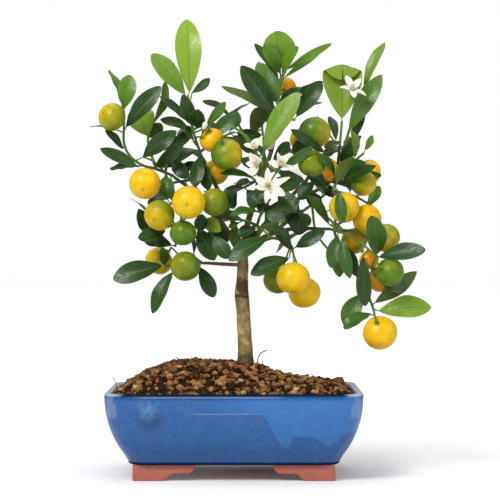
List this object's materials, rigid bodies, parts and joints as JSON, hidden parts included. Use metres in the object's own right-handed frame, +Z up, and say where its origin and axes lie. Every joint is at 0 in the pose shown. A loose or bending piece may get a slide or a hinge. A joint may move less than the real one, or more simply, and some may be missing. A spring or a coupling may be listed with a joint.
{
  "type": "citrus bonsai",
  "caption": "Small citrus tree with glossy leaves, round yellow and green fruit and white blossom, standing in bark-topped soil in a blue glazed rectangular pot with clay feet",
  "frame": {"origin": "middle of the bottom of the bounding box, on the surface that the pot's feet stand on", "axes": "+Z up, +X along the pot's length to the right as seen from the front, -Y the front"},
  "size_m": [0.3298, 0.2224, 0.4437],
  "materials": {
    "blue_glaze": "gloss",
    "soil": "matte",
    "mesh": "matte",
    "bark": "matte",
    "leaves": "satin",
    "petals": "matte",
    "peel_yellow": "satin",
    "peel_orange": "satin",
    "peel_turning": "satin",
    "peel_green": "satin"
  },
  "bodies": {
    "root": {"bloom_1": "petals", "bloom_2": "petals", "bloom_3": "petals", "bloom_4": "petals", "bloom_5": "petals", "bloom_6": "petals", "bloom_7": "petals", "bloom_8": "petals", "drain_mesh_left": "mesh", "drain_mesh_right": "mesh", "fruit_01": "peel_turning", "fruit_02": "peel_yellow", "fruit_03": "peel_yellow", "fruit_04": "peel_yellow", "fruit_05": "peel_green", "fruit_06": "peel_green", "fruit_07": "peel_green", "fruit_08": "peel_turning", "fruit_09": "peel_orange", "fruit_10": "peel_turning", "fruit_11": "peel_green", "fruit_12": "peel_orange", "fruit_13": "peel_turning", "fruit_14": "peel_turning", "fruit_15": "peel_green", "fruit_16": "peel_orange", "fruit_17": "peel_yellow", "fruit_18": "peel_yellow", "fruit_19": "peel_yellow", "fruit_20": "peel_yellow", "fruit_21": "peel_turning", "fruit_22": "peel_turning", "fruit_23": "peel_green", "fruit_24": "peel_orange", "fruit_25": "peel_orange", "fruit_26": "peel_yellow", "fruit_27": "peel_yellow", "fruit_28": "peel_yellow", "fruit_29": "peel_green", "fruit_30": "peel_yellow", "fruit_31": "peel_orange", "fruit_32": "peel_yellow", "pot": "blue_glaze", "soil": "soil", "spray_back_centre": "leaves", "spray_back_left": "leaves", "spray_back_right": "leaves", "spray_crown_centre": "leaves", "spray_crown_left": "leaves", "spray_crown_right": "leaves", "spray_flowering": "leaves", "spray_inner": "leaves", "spray_left_low": "leaves", "spray_left_outer": "leaves", "spray_left_up": "leaves", "spray_low": "leaves", "spray_right": "leaves", "spray_right_crest": "leaves", "trunk_and_limbs": "bark"}
  },
  "joints": []
}
